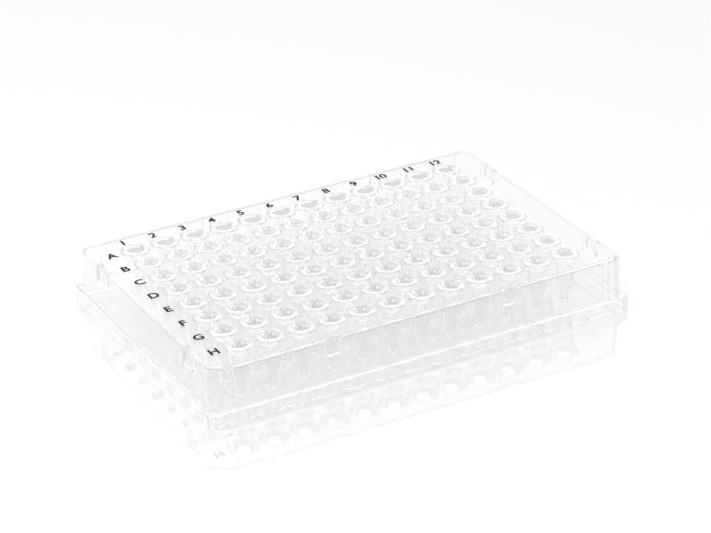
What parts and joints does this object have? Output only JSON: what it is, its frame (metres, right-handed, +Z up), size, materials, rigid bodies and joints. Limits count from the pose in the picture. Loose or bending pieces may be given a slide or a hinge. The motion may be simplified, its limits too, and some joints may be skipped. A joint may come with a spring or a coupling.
{
  "type": "well plate",
  "caption": "Clear low-profile well plate for small reaction volumes, with thin conical tubes, raised rims, a full skirt and one cut corner.",
  "frame": {"origin": "centre of the footprint, on the surface that the plate stands on", "axes": "+X along the rows towards column 12, +Y across the rows towards row A, +Z up out of the wells"},
  "size_m": [0.1278, 0.0854, 0.0159],
  "materials": {
    "clear_plastic": "clear, glossy",
    "label_ink": "black pad-printed ink"
  },
  "bodies": {
    "root": {"well_plate": "clear_plastic"}
  },
  "joints": []
}
